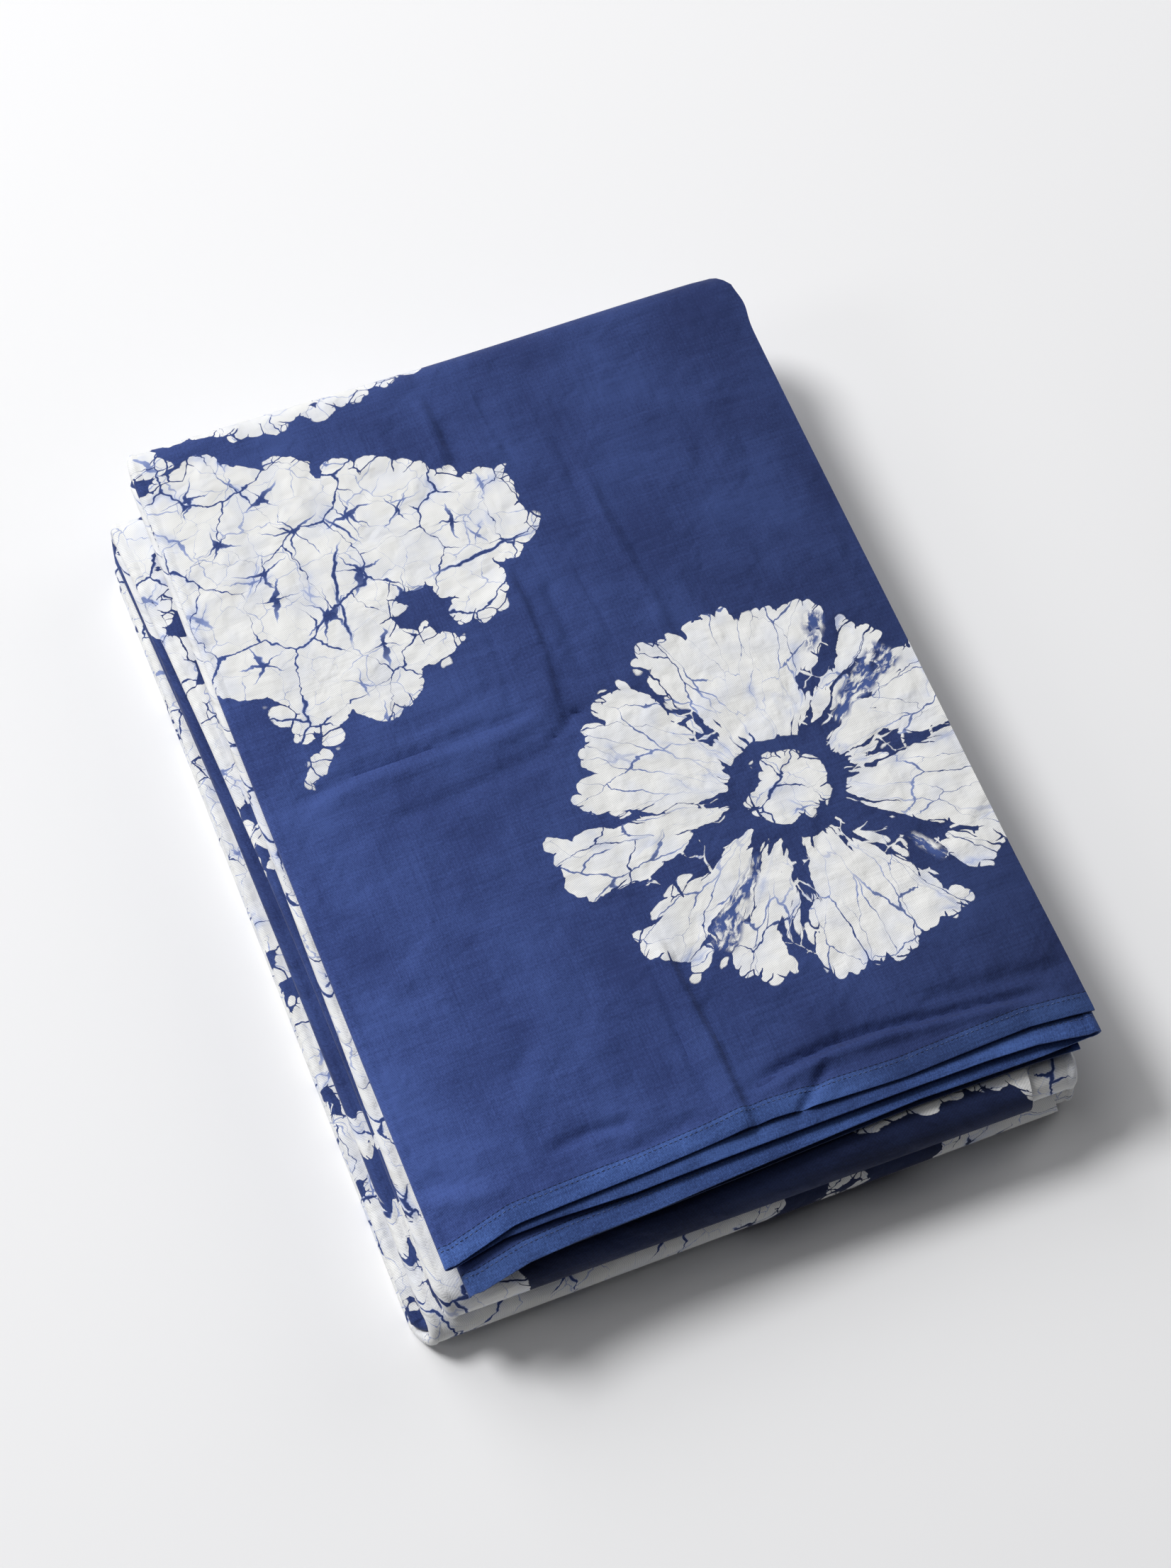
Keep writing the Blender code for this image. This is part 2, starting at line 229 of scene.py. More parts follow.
class Place:
    """One cut through the stack along its length: on a pass, or on the fold after it."""

    def __init__(self, index, share=1.0, angle=None):
        self.index = index
        self.share = share
        self.angle = angle

    def goes_far(self):
        """Passes 1, 3 and 5 run away from the hemmed end, and passes 2 and 4 run back."""
        return self.index % 2 == 0

    def far_share(self):
        """1 at the pass's far end and 0 at its near end."""
        return self.share if self.goes_far() else 1.0 - self.share

    def edge(self, column):
        """Place across the stack of one of the fan's edges."""
        number = PASS_COLUMNS.index(column)
        at_left = column in LEFT_COLUMNS

        def on_pass(index):
            far, middle, near = PASS_ROWS[index][number]
            x = curve(near, middle, far, self.far_share()) * MM
            if index == 0 and not at_left:
                x += CORNER_OUT * bell((self.share - CORNER_SHARE) / CORNER_SPREAD)
            return x

        if self.angle is None:
            return on_pass(self.index)
        x = blend(on_pass(self.index), on_pass(self.index + 1), soft_step(self.angle / math.pi))
        corner_left, corner_right = REACH_ROWS[self.index][2:]
        corner_in = corner_left if at_left else -corner_right
        return x + corner_in * MM * math.sin(self.angle)

    def from_hem(self):
        return self.share * TOP_LENGTH

    def near_hem(self, length):
        """How near the hemmed end is, 1 at the hem and 0 from this length on."""
        if self.index or self.angle is not None:
            return 0.0
        return soft_step(1 - self.from_hem() / length)

    def thickness(self):
        if self.index or self.angle is not None:
            return CLOTH_THICK
        if self.from_hem() < HEM_WIDE + HEM_STEP / 2:
            rounded = math.sqrt(min(1.0, HEM_ROUND_SHARE + self.from_hem() / HEM_ROUND))
            return HEM_THICK * rounded
        return blend(CLOTH_THICK, END_THICK, soft_step(1 - (self.from_hem() - HEM_WIDE) / END_TAPER))

    def up_side(self):
        """1 where layer 1 is the pass's top layer, and -1 where it is the lowest."""
        turned = 1.0 if self.angle is None else math.cos(self.angle)
        return turned if self.goes_far() else -turned


def layer_height(layer, share, place):
    """Height of a layer's middle over the middle of its pass. Layer 0 is the hemmed end's top one."""
    level = ((LAYERS - 1) / 2 - layer) * LAYER_PITCH
    left, right = SPRING_ROWS[layer]
    height, waves, start = RIPPLE_ROWS[layer]
    ripple = height * math.sin(2 * math.pi * waves * share + start) * math.sin(math.pi * share)
    spring = place.near_hem(SPRING_LENGTH) * blend(left, right, share)
    return level + (spring + place.near_hem(RIPPLE_LENGTH) * ripple) * MM


def left_edge(layer, place):
    return place.edge("fold_12" if layer < 2 else "fold_34")


def right_edge(layer, place):
    return place.edge(("side_1", "fold_23", "fold_23", "side_4")[layer])


def fold_radius(layer, share, place):
    """Radius of the cloth's middle where a layer turns into the next one, at its full nose."""
    apart = layer_height(layer, share, place) - layer_height(layer + 1, share, place)
    return apart / 2 + NOSE_FULL


def spaced(rows):
    """Every stop of a table of runs, each a start, an end and a step."""
    found = []
    for start, end, step in rows:
        count = round((end - start) / step)
        found += [start + (end - start) * number / count for number in range(count + 1)]
    return sorted(set(found))


def turn(layer, place):
    """The points of the full nose from one layer to the next."""
    at_left = layer % 2 == 0
    share = 0.0 if at_left else 1.0
    side = -1.0 if at_left else 1.0
    radius = fold_radius(layer, share, place)
    upper, lower = layer_height(layer, share, place), layer_height(layer + 1, share, place)
    edge = left_edge(layer, place) if at_left else right_edge(layer, place)
    centre = edge - side * (radius + place.thickness() / 2)
    over = math.acos((upper - lower) / 2 / radius)
    points = []
    for step in range(TURN_STEPS_ACROSS + 1):
        angle = blend(-over, math.pi + over, step / TURN_STEPS_ACROSS)
        x = centre + side * radius * math.sin(angle)
        height = (upper + lower) / 2 + radius * math.cos(angle)
        on_layer = layer if step <= TURN_STEPS_ACROSS / 2 else layer + 1
        points.append((x, height, -math.sin(angle), -side * math.cos(angle), on_layer, share))
    return points


def nose_room(layer, share, place):
    """How far a layer's flat part stops short of its fold's edge."""
    radius = fold_radius(layer, share, place)
    apart = layer_height(layer, share, place) - layer_height(layer + 1, share, place)
    return radius + place.thickness() / 2 + math.sqrt(radius * radius - apart * apart / 4) + NOSE_CLEAR


def fan(place, top_shares):
    """The fan fold at one place, from the free side of layer 1 to the free side of layer 4.

    Each point is (x, height, normal across, normal up, layer, share), on the middle of the cloth,
    with the normal on the dyed face's side.
    """
    points = []
    for layer in range(LAYERS):
        stops = top_shares if layer == 0 else UNDER_SHARES
        going_left = layer % 2 == 0
        facing_up = 1.0 if going_left else -1.0
        left, right = left_edge(layer, place), right_edge(layer, place)
        left += nose_room(layer if going_left else layer - 1, 0.0, place)
        if 0 < layer < LAYERS - 1:
            right -= nose_room(layer - 1 if going_left else layer, 1.0, place)
        for share in reversed(stops) if going_left else stops:
            height = layer_height(layer, share, place)
            if layer == 0:
                lean = soft_step((share - 1 + SIDE_LEAN_SHARE) / SIDE_LEAN_SHARE)
                height -= SIDE_LEAN * lean * place.up_side()
            points.append((blend(left, right, share), height, 0.0, facing_up, layer, share))
        if layer < LAYERS - 1:
            points += turn(layer, place)
    return points


def reach_at(row, x):
    """How far a fold reaches along Y at one place across the stack."""
    return blend(row[0], row[1], (x + HALF_WIDE) / (2 * HALF_WIDE)) * MM


def fold_line_y(index, x):
    """Where the passes on either side of one fold along the length start to bend."""
    outer = TURN_RADIUS + (LAYERS - 1) / 2 * LAYER_PITCH + CLOTH_THICK / 2
    reach = reach_at(REACH_ROWS[index], x)
    return reach - outer if reach > 0 else reach + outer


def along(place, x, height, layer, share):
    """Y and Z of a point of the fan, once the fan is folded along its length."""
    index = place.index
    way = 1 if place.goes_far() else -1
    if place.angle is not None:
        middle = (pass_middle(index) + pass_middle(index + 1)) / 2
        radius = TURN_RADIUS + way * height
        y = fold_line_y(index, x) + way * radius * math.sin(place.angle)
        return y, middle + radius * math.cos(place.angle)
    if index == 0:
        near, far = float(np.interp(share, HEM_SHARES, HEM_ROWS[layer])) * MM, fold_line_y(0, x)
    elif index == PASSES - 1:
        near, far = fold_line_y(index - 1, x), reach_at(LAST_END, x) - LAST_END_SHORT[layer] * MM
    else:
        near, far = sorted((fold_line_y(index - 1, x), fold_line_y(index, x)))
    return blend(near, far, place.far_share()), pass_middle(index) + way * height


def places():
    """Every cut along the length, from the hemmed end to the other end."""
    found = []
    for index in range(PASSES):
        shares = [stop * MM / TOP_LENGTH for stop in spaced(ALONG_ROWS)] if index == 0 else PASS_SHARES
        found += [Place(index, share=share) for share in shares]
        if index < PASSES - 1:
            turns = [math.pi * step / TURN_STEPS_ALONG for step in range(1, TURN_STEPS_ALONG)]
            found += [Place(index, angle=angle) for angle in turns]
    return found


def from_line(x, y, points):
    """Distance from a drawn line, with its sign (above 0 at its right), and the share along it."""
    best = np.full(x.shape, 1e9)
    signed = np.zeros(x.shape)
    share = np.zeros(x.shape)
    lengths = [math.dist(a, b) for a, b in zip(points, points[1:])]
    done = 0.0
    for (ax, ay), (bx, by), length in zip(points, points[1:], lengths):
        ux, uy = (bx - ax) / length, (by - ay) / length
        run = np.clip((x - ax) * ux + (y - ay) * uy, 0.0, length)
        away = np.hypot(x - ax - run * ux, y - ay - run * uy)
        right = np.sign((x - ax) * uy - (y - ay) * ux)
        nearer = away < best
        best = np.where(nearer, away, best)
        signed = np.where(nearer, away * right, signed)
        share = np.where(nearer, (done + run) / sum(lengths), share)
        done += length
    return signed, share


def pressed(x, y):
    """How far the creases press the top layer down at each place, in metres. x and y are in mm."""
    total = np.zeros(x.shape)
    for rows, drops in ((TROUGH_ROWS, False), (STEP_ROWS, True)):
        for depth, wide, points in rows:
            away, share = from_line(x, y, points)
            profile = np.exp(-((away / wide) ** 2))
            if drops:
                profile = (0.5 + 0.5 * np.tanh(away / STEP_SHARP_MM)) * profile
            ends = soft_steps(np.minimum(share, 1 - share) / CREASE_END_SHARE)
            total += depth * MM * profile * ends
    return total


def settle(points):
    """Adds the crown, the waves and the creases, which fade out towards the stack's base."""
    x, y, z = points[..., 0], points[..., 1], points[..., 2]
    lift = soft_steps((z - STILL_HEIGHT) / (STACK_TOP - STILL_HEIGHT))
    crown = CROWN_HEIGHT * (1 - (x / CROWN_REACH[0]) ** 2) * (1 - (y / CROWN_REACH[1]) ** 2)
    waves = sum(h * MM * np.sin(kx * x + ky * y + phase) for h, kx, ky, phase in WAVE_ROWS)
    creased = CREASE_LAYERS * LAYER_PITCH
    near_top = soft_steps((z - STACK_TOP + creased) / creased)
    middle = np.interp(y / MM, CREASE_ALONG, CREASE_ACROSS) * MM
    deep = CREASE_DEPTH * np.exp(-(((x - middle) / CREASE_SPREAD) ** 2)) + pressed(x / MM, y / MM)
    settled = np.maximum(z + lift * (crown + waves) - deep * near_top, 0.0)
    return np.stack((x - STACK_CENTRE[0], y - STACK_CENTRE[1], settled), -1)


def flat_pattern(middles):
    """The place of each point on the flat cloth: the top layer's X and Y, and from there its run."""
    x, y, z = middles[..., 0], middles[..., 1], middles[..., 2]
    top = len(TOP_SHARES)
    across = x.copy()
    steps = np.hypot(np.diff(x, axis=1), np.diff(middles[..., 3], axis=1))
    across[:, top:] = x[:, top - 1:top] - np.cumsum(steps[:, top - 1:], axis=1)
    first = sum(1 for place in CUTS if place.index == 0 and place.angle is None)
    cloth = y.copy()
    runs = np.hypot(np.diff(y, axis=0), np.diff(z, axis=0))
    cloth[first:] = y[first - 1:first] + np.cumsum(runs[first - 1:], axis=0)
    return np.stack((across, cloth), -1)


CUTS = places()
TOP_SHARES = [(stop * MM + HALF_WIDE) / (2 * HALF_WIDE) for stop in spaced(ACROSS_ROWS)]


def sheet_points():
    """The points of the dyed face and of the back, and the flat pattern, one row for each cut."""
    faces, backs, middles = [], [], []
    for place in CUTS:
        half = place.thickness() / 2
        face, back, middle = [], [], []
        for x, height, across, up, layer, share in fan(place, TOP_SHARES):
            for row, offset in ((face, half), (back, -half)):
                px = x + across * offset
                row.append((px, *along(place, px, height + up * offset, layer, share)))
            middle.append((x, *along(place, x, height, layer, share), height))
        faces.append(face)
        backs.append(back)
        middles.append(middle)
    return settle(np.array(faces)), settle(np.array(backs)), flat_pattern(np.array(middles))


def sheet_mesh(name, faces, backs, pattern):
    """The closed sheet: its dyed face, its back, its two sides and its two ends."""
    long, wide = faces.shape[:2]
    points = np.concatenate((faces.reshape(-1, 3), backs.reshape(-1, 3)))

    def at(side, cut, stop):
        return side * wide * long + cut * wide + stop

    quads = []
    for cut in range(long - 1):
        for stop in range(wide - 1):
            corners = ((cut, stop), (cut + 1, stop), (cut + 1, stop + 1), (cut, stop + 1))
            quads.append([at(0, *corner) for corner in corners])
            quads.append([at(1, *corner) for corner in reversed(corners)])
        for stop in (0, wide - 1):
            side = [at(0, cut, stop), at(1, cut, stop), at(1, cut + 1, stop), at(0, cut + 1, stop)]
            quads.append(side if stop == 0 else side[::-1])
    for stop in range(wide - 1):
        for cut in (0, long - 1):
            end = [at(0, cut, stop), at(0, cut, stop + 1), at(1, cut, stop + 1), at(1, cut, stop)]
            quads.append(end if cut == 0 else end[::-1])
    mesh = bpy.data.meshes.new(name)
    mesh.from_pydata(points.tolist(), [], quads)
    corners = np.empty(len(mesh.loops), dtype=np.int32)
    mesh.loops.foreach_get("vertex_index", corners)
    flat = np.concatenate((pattern.reshape(-1, 2), pattern.reshape(-1, 2)))
    uv = mesh.uv_layers.new(name="flat_cloth")
    uv.data.foreach_set("uv", flat[corners].astype(np.float32).ravel())
    mesh.shade_smooth()
    mesh.set_sharp_from_angle(angle=SHARP_ANGLE)
    return mesh


# The photograph's camera
CAMERA_ELEVATION = math.radians(64.43)
CAMERA_TURN = math.radians(-21.61)
CAMERA_TARGET = Vector((-0.00308, -0.01899, 0.060))
CAMERA_AWAY = 1.17741
PHOTO_LONG = 2213
LENS_PIXELS = 4000
SENSOR_WIDE = 36

# Each light's name, place, width in metres and power in watts
LIGHT_ROWS = (
    ("window_left", (-1.92, 1.97, 3.53), 1.4, 122.0),
    ("window_far", (-1.22, 3.05, 3.05), 3.6, 82.0),
    ("window_near", (-3.70, 0.10, 2.50), 1.4, 14.0),
    ("wall_right", (3.35, 1.33, 2.67), 2.5, 23.0),
    ("ceiling", (-0.45, 0.66, 4.41), 2.5, 17.0),
)
WORLD_COLOUR = (0.93, 0.95, 1.0, 1.0)
WORLD_STRENGTH = 0.03
FLOOR_HALF = 4.0
FLOOR_LEVEL = -0.2 * MM
FLOOR_COLOUR = (0.92, 0.92, 0.93, 1.0)


def added(name, data):
    """A new object in the scene."""
    ob = bpy.data.objects.new(name, data)
    bpy.context.scene.collection.objects.link(ob)
    return ob


def place_camera():
    out = math.cos(CAMERA_ELEVATION)
    back = Vector((math.sin(CAMERA_TURN) * out, -math.cos(CAMERA_TURN) * out, math.sin(CAMERA_ELEVATION)))
    right = Vector((math.cos(CAMERA_TURN), math.sin(CAMERA_TURN), 0))
    camera = bpy.data.cameras.new("camera")
    camera.sensor_width = SENSOR_WIDE
    camera.lens = SENSOR_WIDE * LENS_PIXELS / PHOTO_LONG
    ob = added("camera", camera)
    turned = Matrix((right, back.cross(right), back)).transposed().to_4x4()
    ob.matrix_world = Matrix.Translation(CAMERA_TARGET + back * CAMERA_AWAY) @ turned
    bpy.context.scene.camera = ob


def place_lights():
    for name, place, wide, power in LIGHT_ROWS:
        light = bpy.data.lights.new(name, "AREA")
        light.shape = "DISK"
        light.size = wide
        light.energy = power
        ob = added(name, light)
        ob.location = place
        ob.rotation_euler = (-Vector(place)).to_track_quat("-Z", "Y").to_euler()
    world = bpy.data.worlds.new("studio")
    world.use_nodes = True
    world.node_tree.nodes["Background"].inputs["Color"].default_value = WORLD_COLOUR
    world.node_tree.nodes["Background"].inputs["Strength"].default_value = WORLD_STRENGTH
    bpy.context.scene.world = world


def lay_floor():
    mesh = bpy.data.meshes.new("floor")
    sides = ((-1, -1), (1, -1), (1, 1), (-1, 1))
    corners = [(x * FLOOR_HALF, y * FLOOR_HALF, FLOOR_LEVEL) for x, y in sides]
    mesh.from_pydata(corners, [], [(0, 1, 2, 3)])
    material, _, surface = new_material("pale_floor", 0.9)
    surface["Base Color"].default_value = FLOOR_COLOUR
    mesh.materials.append(material)
    added("floor", mesh)


# The resist pattern, in mm on the flat cloth: X and Y of the top layer, and from there the cloth's
# run. Each row is a shape's dye and form, its middle, its half length and half width, and its turn in
# degrees, if any. A white row adds an undyed shape, and a blue row takes one away again, in order.
SHAPE_ROWS = (
    ("white", "box", -65, 132.5, 71, 30.5, -25),
    ("white", "box", -128, 150, 16, 31),
    ("white", "oval", -18, 110, 31, 25),
    ("white", "oval", -24, 87, 17, 20),
    ("white", "box", -105, 106, 50, 46),
    ("blue", "box", -140, 51, 20, 14, -45),
    ("white", "oval", -84, 62, 38, 24),
    ("white", "oval", -54, 59, 15, 9, 10),
    ("white", "box", -108, 47, 11, 9, 10),
    ("white", "oval", -114, 29, 3.4, 9, -8),
    ("white", "oval", -105, 34.5, 6.5, 3.6, 35),
    ("blue", "oval", -108, 42, 5, 1.4, -38),
    ("blue", "oval", -50, 78, 13, 7.5, 8),
    ("white", "oval", -62, 207, 47, 18.5),
    ("white", "box", -120, 226, 112, 28),
    ("white", "oval", -143, 194, 16, 8),
    ("white", "box", -148, 120, 6, 60),
    ("white", "box", -707, 400, 14, 196),
    ("blue", "oval", -706, 199, 3, 3.4),
    ("blue", "oval", -703, 443, 2.4, 4, 20),
    ("white", "box", -148, 820, 16, 190),
    ("blue", "oval", -144, 941, 3.6, 14),
    ("blue", "oval", -147, 900, 3, 5, 30),
    ("blue", "oval", -144, 842, 2.4, 5, 20),
    ("blue", "oval", -146, 812, 2, 8, 10),
    ("blue", "box", -148, 755, 8, 62),
    ("blue", "box", -726, 740, 20, 90),
    ("blue", "box", -148, 674, 8, 9),
    ("blue", "box", -732, 1165, 26, 122),
    ("white", "oval", -748, 1020, 10, 22),
    ("white", "box", -724, 1337, 14, 49),
    ("blue", "box", -724, 1316, 9, 11),
    ("blue", "oval", -722, 1352, 6, 4, 40),
    ("blue", "oval", -726, 1368, 5, 5, 20),
    ("white", "box", -158, 1600, 16, 190),
    ("white", "box", -749, 1600, 17, 190),
    ("blue", "oval", -156, 1560, 4, 15),
    ("white", "oval", -156, 1566, 2.6, 5, 20),
    ("white", "oval", -154, 1552, 2, 4),
    ("blue", "oval", -154, 1504, 2, 5, 30),
    ("blue", "oval", -157, 1467, 3, 4),
    ("blue", "oval", -158, 1667, 2.6, 5),
    ("white", "box", -700, 598, 21, 16),
    ("blue", "box", -829, 600, 109, 24),
    ("white", "box", -889, 577, 55, 3.6, -2.0),
    ("white", "box", -972, 598, 34, 22),
    ("white", "box", -426, 598, 26, 30),
    ("white", "box", -790, 1388, 76, 26),
    ("blue", "box", -901, 1388, 36, 30),
    ("white", "oval", -892, 1380, 3.4, 3.2, 20),
    ("white", "oval", -900, 1378.5, 3, 2.4),
    ("white", "oval", -894, 1388, 4, 2.4, 10),
    ("white", "oval", -903, 1384, 2.6, 1.6, 30),
    ("white", "box", -972, 1388, 36, 28),
    ("white", "box", -432, 1388, 26, 36),
    ("blue", "box", -560, -190, 430, 38),
    ("white", "oval", -424, 380, 58, 84, 12),
    ("white", "oval", -430, 860, 52, 62, -8),
    ("white", "oval", -428, 1150, 64, 88, 5),
    ("white", "oval", -425, 1660, 48, 74, -12),
    ("white", "oval", -330, 235, 70, 52, 8),
    ("white", "oval", 60, 990, 78, 60, -6),
    ("white", "oval", -300, 1005, 66, 74, 10),
    ("white", "oval", -20, 1770, 82, 56, 4),
    ("white", "oval", -560, 1780, 60, 50),
    ("white", "oval", -900, 1010, 52, 66),
)

# Where the cloth was pinched hardest inside the first flower: the knot's place, how far its rays
# reach and how wide its middle is, in mm, its number of rays, and how they are turned, from 0 to 1.
# But for the place, the columns are named as the rays' node group names them.
PINCH_COLUMNS = ("middle_mm", "Reach", "Knot", "Rays", "Chance")
PINCH_RAY = 0.36
PINCH_ROWS = (
    ((-86, 134), 20.0, 1.9, 5, 0.13),
    ((-60, 134.5), 18.0, 2.1, 6, 0.42),
    ((-94, 158), 14.0, 1.6, 4, 0.71),
    ((-124, 168), 15.0, 1.2, 4, 0.27),
    ((-117, 140), 12.0, 1.5, 5, 0.88),
    ((-105, 121), 16.0, 1.2, 5, 0.55),
    ((-66, 106), 16.0, 1.3, 5, 0.36),
    ((-103, 107), 14.0, 1.1, 4, 0.62),
    ((-86, 92), 16.0, 1.4, 6, 0.19),
    ((-119, 80), 14.0, 1.4, 5, 0.95),
    ((-41, 130), 13.0, 1.5, 4, 0.48),
    ((-20, 115), 12.0, 1.5, 4, 0.04),
    ((-52, 90), 14.0, 2.2, 5, 0.80),
    ((-68, 67), 12.0, 1.1, 4, 0.33),
)

# The thick veins between the knots: middle, half length and width in mm, and turn in degrees
THICK_ROWS = (
    (-75.5, 108, 19, 1.0, 68),
    (-80, 88, 16, 0.8, 88),
    (-66, 129, 12, 0.7, -58),
    (-14, 95.5, 27, 1.0, 4),
)

# Painted shade in the front folds' recesses, under the hems' overhang: middle, and half length and width
FRONT_SHADE_ROWS = (
    (-830, -202, 128, 14),
    (-829, 602, 128, 40),
    (-901, 1388, 60, 40),
)

# The large flower. Each petal's direction and half angle are in degrees, and its reach in mm.
FLOWER_MIDDLE = (65.0, -55.0)
FLOWER_DISC = 17.5
RING_MIDDLE = 21.5
RING_HALF = 3.2
PETAL_COLUMNS = ("direction", "half_angle", "inner", "outer")
PETAL_ROWS = (
    (87.0, 32.5, 22.0, 87.0),
    (45.0, 7.0, 34.0, 84.0),
    (17.0, 14.5, 26.0, 96.0),
    (-18.0, 18.5, 24.0, 100.0),
    (-41.0, 6.5, 68.0, 90.0),
    (-79.5, 24.5, 22.0, 89.0),
    (-120.5, 11.5, 27.0, 86.0),
    (-145.5, 11.5, 28.0, 94.0),
    (182.0, 12.0, 26.0, 103.0),
    (145.5, 25.0, 22.0, 87.0),
)
PETAL_GAP = 1.2
PETAL_SOFT = 13.0
PETALS_END = 120.0

# On the petals the edges and veins run outwards: millimetres for each radian, and the outward stretch
PETALS_AROUND = 74.0
PETALS_OUTWARDS = 0.42

# Dye that crept in between the petals, in the petals' columns
CLOUDED_ROWS = (
    (33.5, 7.0, 36.0, 80.0),
    (-133.0, 5.5, 32.0, 80.0),
    (58.0, 4.0, 62.0, 84.0),
    (-47.0, 3.5, 52.0, 72.0),
)

# How the drawn shapes are bent and frayed. Each bend is a noise's scale and its push in mm, and each
# fringe is a cell, a lobe, a slit and a depth in mm.
SHAPE_BENDS = ((0.045, 9.0), (0.22, 2.6))
VEIN_BENDS = ((0.11, 6.0), (0.5, 1.1))
CORNER_SOFT = 6.0
SMALL_FRINGE = (5.4, 8.0, 0.26, 3.0)
LARGE_FRINGE = (13.0, 12.0, 0.40, 5.6)
FRINGE_MEAN = 3.7
THREAD_CELL = 10.0

# Below this X of the flat cloth, in mm, are the fan's last folds, with plainer edges and thicker veins
FOLDS_START = -560.0

# The weave and its wrinkles, in mm
YARN_PITCH_MM = 0.80
YARN_MM = 0.07
SLUB_MM = 0.10
SLUB_STRETCHES = ((1.3, 0.016, 1.0), (0.02, 1.1, 1.0))
WRINKLE_MM = 3.4
WRINKLE_BENDS = ((0.03, 16.0),)

# Dyed cloth, in linear colours
INDIGO_PALE = (0.0425, 0.0740, 0.2380, 1.0)
INDIGO_DEEP = (0.0195, 0.0340, 0.1280, 1.0)
UNDYED = (0.83, 0.83, 0.82, 1.0)
HAZE = (0.50, 0.56, 0.76, 1.0)
PALE_DYE = (0.26, 0.33, 0.60, 1.0)
CLOUD_DYE = (0.060, 0.100, 0.290, 1.0)
# The tint of the hems' painted highlight
HEM_HIGHLIGHT_TINT = (0.94, 1.14, 1.02)
THREAD_DEEP = (0.014, 0.024, 0.080, 1.0)
THREAD_PALE = (0.10, 0.15, 0.33, 1.0)

# The hems' machine stitches
STITCH_PITCH = 2.2 * MM
STITCH_LENGTH = 1.5 * MM
STITCH_RADIUS = 0.22 * MM
STITCH_SWAY = 0.10
STITCHED_LAYERS = 3

ALONG_X = (1, 0, 0)
ALONG_Y = (0, 1, 0)


class Net:
    """Short calls for the nodes of one tree."""

    def __init__(self, tree):
        self.tree = tree

    def put(self, socket, value):
        if isinstance(value, bpy.types.NodeSocket):
            self.tree.links.new(value, socket)
        else:
            socket.default_value = value

    def node(self, kind, inputs=None, **settings):
        """A node with its settings, and with values or wires on its inputs."""
        made = self.tree.nodes.new(kind)
        for name, value in settings.items():
            setattr(made, name, value)
        for socket, value in (inputs or {}).items():
            self.put(made.inputs[socket], value)
        return made

    def group(self, tree, inputs):
        return self.node("ShaderNodeGroup", inputs, node_tree=tree).outputs

    def math(self, operation, *values):
        return self.node("ShaderNodeMath", dict(enumerate(values)), operation=operation).outputs[0]

    plus = partialmethod(math, "ADD")
    minus = partialmethod(math, "SUBTRACT")
    times = partialmethod(math, "MULTIPLY")
    times_plus = partialmethod(math, "MULTIPLY_ADD")
    over = partialmethod(math, "DIVIDE")
    absolute = partialmethod(math, "ABSOLUTE")
    smaller = partialmethod(math, "MINIMUM")
    larger = partialmethod(math, "MAXIMUM")
    soft_larger = partialmethod(math, "SMOOTH_MAX")

    def vector(self, operation, *values):
        made = self.node("ShaderNodeVectorMath", dict(enumerate(values)), operation=operation)
        return made.outputs["Value" if operation in ("LENGTH", "DOT_PRODUCT") else "Vector"]

    def scaled(self, value, share):
        """A vector or a colour, times a number."""
        return self.node("ShaderNodeVectorMath", {0: value, "Scale": share}, operation="SCALE").outputs[0]

    def ramp(self, value, low, high, to_low=0.0, to_high=1.0, kind="SMOOTHSTEP"):
        """Maps a value from one range to another."""
        inputs = {"Value": value, "From Min": low, "From Max": high, "To Min": to_low, "To Max": to_high}
        return self.node("ShaderNodeMapRange", inputs, clamp=True, interpolation_type=kind).outputs["Result"]

    def mix(self, share, first, second):
        """A colour between two others."""
        return self.node("ShaderNodeMix", {0: share, 6: first, 7: second}, data_type="RGBA").outputs[2]

    def joined(self, across, along_it):
        """A vector from two numbers."""
        return self.node("ShaderNodeCombineXYZ", {"X": across, "Y": along_it}).outputs[0]

    def parts(self, value):
        """X and Y of a vector. Dot products keep it a vector, which spares the renderer's short memory."""
        return self.vector("DOT_PRODUCT", value, ALONG_X), self.vector("DOT_PRODUCT", value, ALONG_Y)

    def noise(self, place, scale, detail=2.0, rough=0.5, output="Fac"):
        inputs = {"Vector": place, "Scale": scale, "Detail": detail, "Roughness": rough}
        return self.node("ShaderNodeTexNoise", inputs).outputs[output]

    def cells(self, place, scale, feature="F1"):
        """The distance from the nearest cell's middle, or from its edge, as a share of a cell."""
        inputs = {"Vector": place, "Scale": scale}
        made = self.node("ShaderNodeTexVoronoi", inputs, voronoi_dimensions="2D", feature=feature)
        return made.outputs["Distance"]

    def edges(self, place, cell):
        """The distance from the nearest edge of a cell, in mm."""
        return self.times(self.cells(place, 1 / cell, "DISTANCE_TO_EDGE"), cell)


def new_group(name, inputs, outputs):
    """A shader node group: its tree, its net, and its two ends. An input without a value is a vector."""
    tree = bpy.data.node_groups.new(name, "ShaderNodeTree")
    for socket, value in inputs.items():
        kind = "NodeSocketVector" if value is None else "NodeSocketFloat"
        made = tree.interface.new_socket(name=socket, in_out="INPUT", socket_type=kind)
        if value is not None:
            made.default_value = value
    for socket in outputs:
        tree.interface.new_socket(name=socket, in_out="OUTPUT", socket_type="NodeSocketFloat")
    net = Net(tree)
    return tree, net, net.node("NodeGroupInput").outputs, net.node("NodeGroupOutput").inputs


def turned_axes(turn_deg, long_share=1.0, wide_share=1.0):
    """The lengthwise and the sideways direction of a turned shape, each times a share."""
    turn_by = math.radians(turn_deg)
    return ((math.cos(turn_by) * long_share, math.sin(turn_by) * long_share, 0.0),
            (-math.sin(turn_by) * wide_share, math.cos(turn_by) * wide_share, 0.0))


